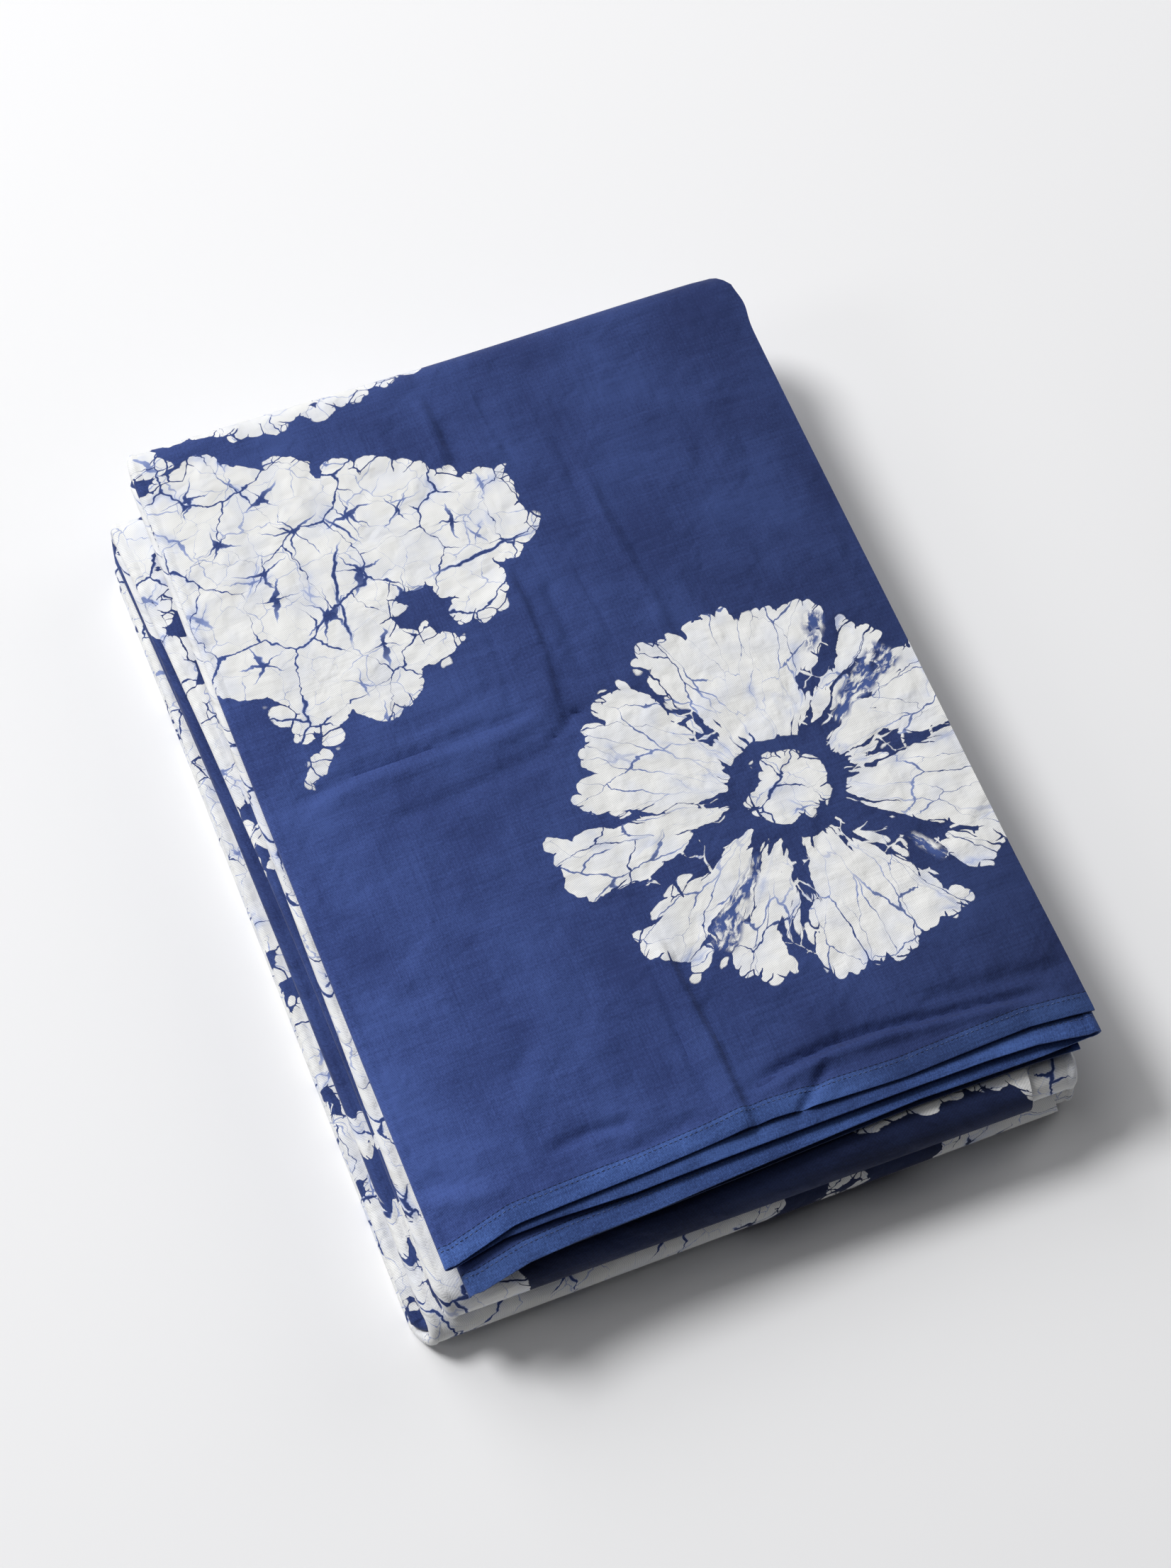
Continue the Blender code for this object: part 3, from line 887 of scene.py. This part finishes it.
@cache
def shape_group(form):
    """The distance from a turned box or oval, in mm, below 0 inside it."""
    tree, net, given, out = new_group(
        f"resist_{form}",
        {"Place": None, "Middle": None, "Lengthwise": None, "Sideways": None, "Half Length": 10.0,
         "Half Width": 10.0},
        ("Distance",),
    )
    from_middle = net.vector("SUBTRACT", given["Place"], given["Middle"])
    lengthwise = net.vector("DOT_PRODUCT", from_middle, given["Lengthwise"])
    sideways = net.vector("DOT_PRODUCT", from_middle, given["Sideways"])
    if form == "box":
        lengthwise = net.minus(net.absolute(lengthwise), given["Half Length"])
        sideways = net.minus(net.absolute(sideways), given["Half Width"])
        net.put(out["Distance"], net.soft_larger(lengthwise, sideways, CORNER_SOFT))
        return tree
    squares = net.times_plus(lengthwise, lengthwise, net.times(sideways, sideways))
    share = net.minus(net.math("SQRT", squares), 1.0)
    net.put(out["Distance"], net.times(share, given["Half Width"]))
    return tree


def placed_shape(net, place, form, x, y, half_long, half_wide, turn_deg=0.0):
    """The distance from one shape of a table, in mm. An oval's axes are as long as one over its halves."""
    is_oval = form == "oval"
    shares = (1 / half_long, 1 / half_wide) if is_oval else (1.0, 1.0)
    lengthwise, sideways = turned_axes(turn_deg, *shares)
    return net.group(shape_group(form), {
        "Place": place, "Middle": (x, y, 0), "Lengthwise": lengthwise, "Sideways": sideways,
        "Half Length": half_long, "Half Width": min(half_long, half_wide) if is_oval else half_wide,
    })["Distance"]


def petal_group():
    """The distance from one petal of a flower whose middle is at 0, in mm."""
    tree, net, given, out = new_group(
        "resist_petal",
        {"Place": None, "Away": 0.0, "Outwards": None, "Sideways": None, "Inner": 24.0, "Outer": 86.0},
        ("Distance",),
    )
    outwards = net.vector("DOT_PRODUCT", given["Place"], given["Outwards"])
    sideways = net.absolute(net.vector("DOT_PRODUCT", given["Place"], given["Sideways"]))
    side = net.plus(net.minus(sideways, outwards), PETAL_GAP)
    inner = net.minus(given["Inner"], given["Away"])
    outer = net.minus(given["Away"], given["Outer"])
    ends = net.soft_larger(side, inner, PETAL_SOFT)
    net.put(out["Distance"], net.soft_larger(ends, outer, CORNER_SOFT))
    return tree


def weave_group():
    """A fine twill with uneven yarns. Yarn is its height, and Slub its paler and darker yarns."""
    tree, net, given, out = new_group("cotton_weave", {"Place": None}, ("Yarn", "Slub"))
    across, along_it = net.parts(given["Place"])
    across = net.times(across, 2 * math.pi / YARN_PITCH_MM)
    along_it = net.times(along_it, 2 * math.pi / YARN_PITCH_MM)
    warp = net.math("SINE", net.times_plus(along_it, 0.5, across))
    weft = net.math("SINE", net.times_plus(across, -0.5, along_it))
    net.put(out["Yarn"], net.times_plus(net.plus(warp, weft), 0.25, 0.5))
    long_yarn, cross_yarn = (net.vector("MULTIPLY", given["Place"], stretch) for stretch in SLUB_STRETCHES)
    slub = net.plus(net.noise(long_yarn, 1.0), net.noise(cross_yarn, 1.0))
    net.put(out["Slub"], net.minus(slub, 1.0))
    return tree


def crackle_group():
    """Dye lines between wax cells. Vein is a line's strength, and Near is how near the line is."""
    tree, net, given, out = new_group(
        "crackle", {"Place": None, "Cell": 24.0, "Line": 0.4, "Knot": 2.0}, ("Vein", "Near"))
    scale = net.over(1.0, given["Cell"])
    edge = net.times(net.cells(given["Place"], scale, "DISTANCE_TO_EDGE"), given["Cell"])
    far = net.ramp(net.cells(given["Place"], scale), 0.55, 0.80)
    patch = net.ramp(net.noise(given["Place"], 0.045), 0.46, 0.62)
    wide = net.times_plus(far, given["Knot"], net.times(given["Line"], patch))
    near = net.over(edge, net.plus(wide, 0.03))
    net.put(out["Vein"], net.ramp(near, 1.35, 0.55))
    net.put(out["Near"], net.times(net.ramp(edge, 3.5, 0.0), patch))
    return tree


def ray_group():
    """Thin dye lines that leave one pinched place. Vein is their strength, and Near how near one is."""
    tree, net, given, out = new_group(
        "pinched_rays",
        {"From Pinch": None, "Chance": 0.5, "Reach": 12.0, "Knot": 1.4, "Ray": 0.4, "Rays": 5.0},
        ("Vein", "Near"),
    )
    across, along_it = net.parts(given["From Pinch"])
    away = net.vector("LENGTH", given["From Pinch"])
    angle = net.math("ARCTAN2", along_it, across)
    sway = net.math("SINE", net.times_plus(given["Chance"], 20.0, net.times(angle, 2.0)))
    turns = net.times(net.over(angle, 2 * math.pi), given["Rays"])
    turns = net.plus(net.times_plus(sway, 0.22, turns), net.times(given["Chance"], 17.0))
    apart = net.absolute(net.minus(net.math("FRACT", turns), 0.5))
    sector = net.over(2 * math.pi, given["Rays"])
    to_ray = net.times(net.times(apart, away), sector)
    inner = net.times(given["Reach"], 0.15)
    thin = net.ramp(away, given["Reach"], inner)
    core = net.math("EXPONENT", net.over(away, -1.7))
    wide = net.times_plus(thin, given["Ray"], net.times(given["Knot"], core))
    line = net.ramp(net.over(to_ray, net.plus(wide, 0.02)), 1.3, 0.6)
    strength = net.larger(net.times_plus(thin, 0.6, 0.3), net.ramp(away, 6.0, 1.0))
    strength = net.times(strength, net.ramp(wide, 0.03, 0.14))
    net.put(out["Vein"], net.times(line, strength))
    net.put(out["Near"], net.times(net.ramp(to_ray, 2.5, 0.0), strength))
    return tree


def star_group(rays):
    """Pinched places all over the cloth, one in about half of the cells, each with its own rays."""
    tree, net, given, out = new_group(
        "star_knots", {"Place": None, "Cell": 24.0, "Knot": 1.4, "Ray": 0.4, "Rays": 5.0}, ("Vein", "Near"))
    scale = net.over(1.0, given["Cell"])
    inputs = {"Vector": given["Place"], "Scale": scale}
    seeds = net.node("ShaderNodeTexVoronoi", inputs, voronoi_dimensions="2D", feature="F1").outputs
    from_seed = net.vector("SUBTRACT", given["Place"], seeds["Position"])
    chance, other = net.parts(seeds["Color"])
    reach = net.times(given["Cell"], net.times_plus(other, 0.5, 0.3))
    inputs = {"From Pinch": from_seed, "Chance": chance, "Reach": reach}
    inputs.update({name: given[name] for name in ("Knot", "Ray", "Rays")})
    made = net.group(rays, inputs)
    there = net.ramp(chance, 0.40, 0.50)
    for name in ("Vein", "Near"):
        net.put(out[name], net.times(made[name], there))
    return tree


def resist_distance(net, place):
    """The distance from the nearest undyed shape, in mm, below 0 inside it."""
    distance = None
    for dye, *shape in SHAPE_ROWS:
        found = placed_shape(net, place, *shape)
        if distance is None:
            distance = found
        elif dye == "white":
            distance = net.smaller(distance, found)
        else:
            distance = net.larger(distance, net.times(found, -1.0))
    return distance


def painted_front_shade(net, place):
    """How much painted shade darkens the front folds' recesses, where the hems overhang them."""
    front_shade = None
    for row in FRONT_SHADE_ROWS:
        found = net.ramp(placed_shape(net, place, "box", *row), 2.0, -6.0)
        front_shade = found if front_shade is None else net.larger(front_shade, found)
    return front_shade


def pinched(net, place, crazed, rays):
    """How strongly the pinched knots and the thick veins between them show."""
    shown = None
    for row in PINCH_ROWS:
        pinch = dict(zip(PINCH_COLUMNS, row))
        from_pinch = net.vector("SUBTRACT", crazed, (*pinch.pop("middle_mm"), 0))
        found = net.group(rays, {"From Pinch": from_pinch, "Ray": PINCH_RAY, **pinch})["Vein"]
        shown = found if shown is None else net.larger(shown, found)
    for row in THICK_ROWS:
        shown = net.larger(shown, net.ramp(placed_shape(net, place, "oval", *row), 0.1, -0.5))
    return shown


def nearest_petal(net, group, rows, place, away):
    """The distance from the nearest petal of a table, in mm. Place is measured from the flower's middle."""
    distance = None
    for row in rows:
        petal = dict(zip(PETAL_COLUMNS, row))
        half_angle = math.radians(petal["half_angle"])
        outwards, sideways = turned_axes(petal["direction"], math.sin(half_angle), math.cos(half_angle))
        found = net.group(group, {"Place": place, "Away": away, "Outwards": outwards, "Sideways": sideways,
                                  "Inner": petal["inner"], "Outer": petal["outer"]})["Distance"]
        distance = found if distance is None else net.smaller(distance, found)
    return distance


def bent(net, place, bends):
    """The place, pushed about by soft noises. Each bend is a noise's scale and its push, in mm."""
    for scale, amount in bends:
        push = net.vector("SUBTRACT", net.noise(place, scale, output="Color"), (0.5, 0.5, 0.5))
        place = net.vector("ADD", place, net.vector("MULTIPLY", push, (amount, amount, 0.0)))
    return place


def fringe(net, place, shapes, open_share, cell, lobe, slit, depth):
    """What rounded lobes and narrow slits take off a shape's edge, in mm."""
    taken = net.times(net.math("POWER", net.cells(place, 1 / cell), 2.0), lobe)
    edge = net.edges(place, cell)
    cut = net.times(net.ramp(edge, slit, slit * 0.3), net.ramp(shapes, -depth, -depth * 0.3))
    return net.times_plus(net.times(cut, open_share), depth, taken)


def drawn_places(net, place):
    """The bent places that the pattern is drawn at, and how they lie to the large flower."""
    shaped = bent(net, place, SHAPE_BENDS)
    from_flower = net.vector("SUBTRACT", shaped, (*FLOWER_MIDDLE, 0))
    away = net.vector("LENGTH", from_flower)
    across, along_it = net.parts(from_flower)
    around = net.times(net.math("ARCTAN2", along_it, across), PETALS_AROUND)
    rays = net.joined(around, net.times(away, PETALS_OUTWARDS))
    within = net.math("LESS_THAN", away, PETALS_END)
    on_petals = net.times(within, net.math("GREATER_THAN", away, RING_MIDDLE))
    drawn = net.node("ShaderNodeMix", {0: on_petals, 4: shaped, 5: rays}, data_type="VECTOR").outputs[1]
    return SimpleNamespace(
        shaped=shaped, from_flower=from_flower, away=away, rays=rays, on_petals=on_petals, drawn=drawn)


def undyed(net, at, shapes):
    """Where the cloth is undyed: the shapes with frayed edges, less the ring and the dyed threads."""
    open_share = net.minus(1.0, at.near_ring)
    ragged = net.ramp(net.noise(at.shaped, 0.045, 1.0), 0.44, 0.62, 0.06, 1.0)
    ragged = net.larger(ragged, at.on_petals)
    small = net.times(fringe(net, at.drawn, shapes, open_share, *SMALL_FRINGE), ragged)
    frayed = net.plus(shapes, small)
    large = fringe(net, at.drawn, shapes, open_share, *LARGE_FRINGE)
    frayed = net.times_plus(large, net.times_plus(at.in_folds, -0.5, 1.0), frayed)
    frayed = net.minus(frayed, FRINGE_MEAN)
    ring = net.minus(RING_HALF, net.absolute(net.minus(at.away, RING_MIDDLE)))
    frayed = net.larger(frayed, ring)

    threads = net.edges(at.shaped, THREAD_CELL)
    threads = net.minus(threads, net.ramp(net.noise(at.shaped, 0.16, 1.0), 0.4, 0.65, 0.1, 0.75))
    bridged = net.times(net.ramp(at.away, 80, 70), net.ramp(at.away, 24, 32))
    bridged = net.times(bridged, net.ramp(net.noise(at.shaped, 0.07, 1.0), 0.44, 0.54))
    bridged = net.times_plus(bridged, -8.0, net.plus(frayed, 1.0))
    frayed = net.smaller(frayed, net.larger(threads, bridged))
    return net.ramp(frayed, 0.22, -0.22)


def veins(net, at):
    """How strongly the dye lines on the undyed cloth show, and the haze round them."""
    crazed = bent(net, at.drawn, VEIN_BENDS)
    thin = net.plus(net.times_plus(at.on_petals, -0.35, 0.8), net.times(at.in_folds, 0.8))
    rays_from = ray_group()
    crackle, star = crackle_group(), star_group(rays_from)
    found = []
    for group, cell, values in (
        (crackle, 27.0, {"Line": net.times(thin, 0.36), "Knot": net.times(thin, 0.5)}),
        (crackle, 13.0, {"Line": net.times_plus(at.on_petals, 0.08, 0.20), "Knot": 0.05}),
        (star, 25.0, {"Knot": 0.5, "Ray": 0.24, "Rays": 4.0}),
    ):
        moved = net.vector("ADD", crazed, (cell * 3, cell, 0))
        found.append(net.group(group, {"Place": moved, "Cell": cell, **values}))
    bold, fine, knots = found
    stars = net.times(knots["Vein"], net.times_plus(at.on_petals, -0.4, 0.6))
    fine_dye = net.times_plus(at.on_petals, 0.35, 0.42)
    lines = net.larger(net.times(bold["Vein"], 0.95), net.times(fine["Vein"], fine_dye))
    lines = net.larger(lines, net.times(stars, net.times_plus(at.in_folds, 0.8, 1.0)))
    lines = net.times(lines, net.times_plus(at.near_ring, -0.7, 1.0))
    lines = net.larger(lines, pinched(net, at.shaped, crazed, rays_from))
    near = net.larger(bold["Near"], knots["Near"])
    mist = net.ramp(net.noise(at.shaped, 0.06, 3.0), 0.40, 0.70)
    return lines, net.times(net.times_plus(near, 0.75, 0.25), mist)


def resist_pattern(net, place):
    """Where the cloth is undyed, how strong its veins are, their haze, and the clouded dye by the petals."""
    at = drawn_places(net, place)
    petal = petal_group()
    petals = nearest_petal(net, petal, PETAL_ROWS, at.from_flower, at.away)
    petals = net.smaller(petals, net.minus(at.away, FLOWER_DISC))
    shapes = net.smaller(resist_distance(net, at.shaped), petals)
    at.near_ring = net.times(at.on_petals, net.ramp(at.away, 68, 40))
    at.in_folds = net.math("LESS_THAN", net.vector("DOT_PRODUCT", place, ALONG_X), FOLDS_START)
    white = undyed(net, at, shapes)
    lines, mist = veins(net, at)
    streaks = net.ramp(net.noise(at.rays, 0.30, 4.0, 0.6), 0.47, 0.60)
    clouds = nearest_petal(net, petal, CLOUDED_ROWS, at.from_flower, at.away)
    clouded = net.times(net.ramp(clouds, 1.5, -1.5), net.ramp(net.noise(at.shaped, 0.09), 0.30, 0.50))
    return white, lines, mist, clouded, streaks


def indigo_ground(net, place, slub):
    """The indigo's colour, with painted light: paler to the left, a painted highlight on the hems, and
    painted shade at the seams and in the front folds' recesses.
    """
    uneven = net.times_plus(slub, 0.32, net.noise(place, 0.02, 3.0))
    grain = net.noise(net.vector("MULTIPLY", place, (1.0, 0.6, 1.0)), 1.5, 2.0, 0.7)
    uneven = net.times_plus(net.minus(grain, 0.5), 0.8, uneven)
    ground = net.mix(net.ramp(uneven, 0.18, 0.82), INDIGO_DEEP, INDIGO_PALE)
    across, along_it = net.parts(place)
    # Painted light: the top layer is made paler to the left, most of all towards the hemmed end
    painted_light_left = net.times(net.ramp(across, -140, 140, 1.0, -1.0, "LINEAR"), net.ramp(across, -143.5, -142))
    painted_light_left = net.times(painted_light_left, net.ramp(along_it, -190, 190, 0.42, 0.16, "LINEAR"))
    painted_light_and_shade = net.plus(painted_light_left, 1.01)
    hem = net.node("ShaderNodeAttribute", attribute_name="hem_band").outputs["Fac"]
    # Painted highlight: the hem band is made paler, as if its rounded edge caught the light
    painted_hem_highlight = net.times(hem, net.ramp(uneven, 0.2, 0.8, 0.10, 0.48))
    painted_light_and_shade = net.times(painted_light_and_shade, net.plus(painted_hem_highlight, 1.0))
    # Painted shade along the stitched seam, varying from stitch to stitch
    seam = net.times(net.ramp(hem, 0.15, 0.45), net.ramp(hem, 0.92, 0.62))
    dashed = net.math("SINE", net.times(across, 2 * math.pi * MM / STITCH_PITCH))
    seam = net.times(seam, net.ramp(dashed, -0.5, 0.1, 0.35, 0.85))
    painted_light_and_shade = net.times(painted_light_and_shade, net.minus(1.0, seam))
    # Painted shade in the front folds' recesses under the hems
    painted_light_and_shade = net.times(painted_light_and_shade, net.times_plus(painted_front_shade(net, place), -0.62, 1.0))
    ground = net.scaled(ground, painted_light_and_shade)
    # The hems' painted highlight is tinted as well
    return net.mix(net.times(hem, 0.8), ground, net.vector("MULTIPLY", ground, HEM_HIGHLIGHT_TINT))


def new_material(name, roughness):
    """A material, its net, and its surface's inputs."""
    material = bpy.data.materials.new(name)
    material.use_nodes = True
    surface = material.node_tree.nodes["Principled BSDF"].inputs
    surface["Roughness"].default_value = roughness
    return material, Net(material.node_tree), surface


def dyed_cotton():
    material, net, surface = new_material("dyed_cotton", 0.86)
    flat = net.node("ShaderNodeUVMap", uv_map="flat_cloth").outputs["UV"]
    place = net.vector("MULTIPLY", flat, (1000, 1000, 0))
    white, lines, mist, clouded, streaks = resist_pattern(net, place)
    weave = net.group(weave_group(), {"Place": place})
    ground = indigo_ground(net, place, weave["Slub"])

    undyed = net.mix(mist, UNDYED, HAZE)
    marked = net.mix(net.ramp(lines, 0.0, 0.55, kind="LINEAR"), undyed, PALE_DYE)
    marked = net.mix(net.ramp(lines, 0.45, 0.95, kind="LINEAR"), marked, ground)
    colour = net.mix(white, ground, marked)
    colour = net.mix(clouded, colour, net.mix(streaks, CLOUD_DYE, UNDYED))
    shade = net.times_plus(weave["Yarn"], 0.28, 0.86)
    net.put(surface["Base Color"], net.scaled(colour, shade))
    surface["Sheen Weight"].default_value = 0.08
    surface["Sheen Roughness"].default_value = 0.4
    surface["Specular IOR Level"].default_value = 0.25

    wrinkle = net.noise(bent(net, place, WRINKLE_BENDS), 0.055, 2.6)
    height = net.times_plus(wrinkle, WRINKLE_MM, net.times(weave["Yarn"], YARN_MM))
    height = net.times_plus(weave["Slub"], SLUB_MM, height)
    bump = net.node("ShaderNodeBump", {"Strength": 1.0, "Distance": MM, "Height": height})
    net.put(surface["Normal"], bump.outputs["Normal"])
    return material


def sewing_thread():
    material, net, surface = new_material("sewing_thread", 0.7)
    place = net.node("ShaderNodeTexCoord").outputs["Object"]
    uneven = net.ramp(net.noise(place, 900.0, 1.0), 0.35, 0.7)
    net.put(surface["Base Color"], net.mix(uneven, THREAD_DEEP, THREAD_PALE))
    return material


def stitch_lines(faces, backs):
    """The upper side of the cloth along each visible hem's seam, one line for each layer."""
    cut = max(number for number, place in enumerate(CUTS)
              if place.index == 0 and place.from_hem() < HEM_WIDE - MM)
    layers = [row[4] for row in fan(CUTS[cut], TOP_SHARES)]
    lines = []
    for layer in range(STITCHED_LAYERS):
        side = faces if layer % 2 == 0 else backs
        line = [side[cut, stop] for stop, on_layer in enumerate(layers) if on_layer == layer]
        lines.append(line[2:-2])
    return lines


def stitch_tree():
    """Geometry Nodes that sew a line: short stitches laid end to end along each spline of a curve."""
    tree = bpy.data.node_groups.new("sew_along", "GeometryNodeTree")
    for name, way, kind in (
        ("Seam", "INPUT", "Geometry"), ("Pitch", "INPUT", "Float"), ("Length", "INPUT", "Float"),
        ("Radius", "INPUT", "Float"), ("Thread", "INPUT", "Material"), ("Stitches", "OUTPUT", "Geometry"),
    ):
        tree.interface.new_socket(name=name, in_out=way, socket_type=f"NodeSocket{kind}")
    net = Net(tree)
    given = net.node("NodeGroupInput").outputs
    inputs = {"Curve": given["Seam"], "Length": given["Pitch"]}
    points = net.node("GeometryNodeCurveToPoints", inputs, mode="LENGTH").outputs
    stitch = net.node("GeometryNodeMeshUVSphere", {"Segments": 5, "Rings": 4, "Radius": given["Radius"]})
    longer = net.over(net.times(given["Length"], 0.5), given["Radius"])
    longer = net.node("ShaderNodeCombineXYZ", {"X": 1.0, "Y": 1.0, "Z": longer})
    inputs = {"Geometry": stitch.outputs["Mesh"], "Scale": longer.outputs[0]}
    shaped = net.node("GeometryNodeTransform", inputs)
    inputs = {2: -STITCH_SWAY, 3: STITCH_SWAY, "Seed": 3}
    sway = net.node("FunctionNodeRandomValue", inputs, data_type="FLOAT").outputs[1]
    inputs = {"Rotation": points["Rotation"], "Rotate By": net.joined(sway, sway)}
    turned = net.node("FunctionNodeRotateRotation", inputs, rotation_space="LOCAL")
    inputs = {"Points": points["Points"], "Instance": shaped.outputs[0], "Rotation": turned.outputs[0]}
    sewn = net.node("GeometryNodeInstanceOnPoints", inputs)
    real = net.node("GeometryNodeRealizeInstances", {0: sewn.outputs[0]})
    inputs = {"Geometry": real.outputs[0], "Material": given["Thread"]}
    finish = net.node("GeometryNodeSetMaterial", inputs)
    net.node("NodeGroupOutput", {"Stitches": finish.outputs[0]})
    return tree


def make_stitches(faces, backs):
    """The machine stitches of the hems, as one plain mesh."""
    seam = bpy.data.curves.new("hem_seams", "CURVE")
    seam.dimensions = "3D"
    for line in stitch_lines(faces, backs):
        spline = seam.splines.new("POLY")
        spline.points.add(len(line) - 1)
        for point, (x, y, z) in zip(spline.points, line):
            point.co = (x, y, z + STITCH_RADIUS * 0.2, 1.0)
    holder = added("hem_seams", seam)
    modifier = holder.modifiers.new("sew", "NODES")
    tree = stitch_tree()
    modifier.node_group = tree
    sockets = {item.name: item.identifier for item in tree.interface.items_tree if item.in_out == "INPUT"}
    for name, value in (("Pitch", STITCH_PITCH), ("Length", STITCH_LENGTH), ("Radius", STITCH_RADIUS),
                        ("Thread", sewing_thread())):
        modifier[sockets[name]] = value
    seen = holder.evaluated_get(bpy.context.evaluated_depsgraph_get())
    mesh = bpy.data.meshes.new_from_object(seen)
    mesh.name = "hem_stitches"
    bpy.data.objects.remove(holder, do_unlink=True)
    mesh.shade_smooth()
    stitches = added("hem_stitches", mesh)
    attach(stitches, "root")
    return stitches


def mark_hems(mesh):
    """An attribute that is 1 on the turned hems and 0 on the rest of the cloth."""
    wide = sum(1 for _ in fan(CUTS[0], TOP_SHARES))
    rows = [place.index == 0 and place.angle is None and place.from_hem() < HEM_WIDE + MM / 2
            for place in CUTS]
    marked = np.tile(np.repeat(np.array(rows, dtype=np.float32), wide), 2)
    mesh.attributes.new("hem_band", "FLOAT", "POINT").data.foreach_set("value", marked)


def make_cloth():
    faces, backs, pattern = sheet_points()
    mesh = sheet_mesh("sari_cloth", faces, backs, pattern)
    mark_hems(mesh)
    mesh.materials.append(dyed_cotton())
    cloth = added("sari_cloth", mesh)
    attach(cloth, "root")
    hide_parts("sari")
    stitches = make_stitches(faces, backs)


bpy.context.scene.view_settings.view_transform = "Standard"
bpy.context.scene.view_settings.look = "None"
place_camera()
place_lights()
lay_floor()
make_cloth()
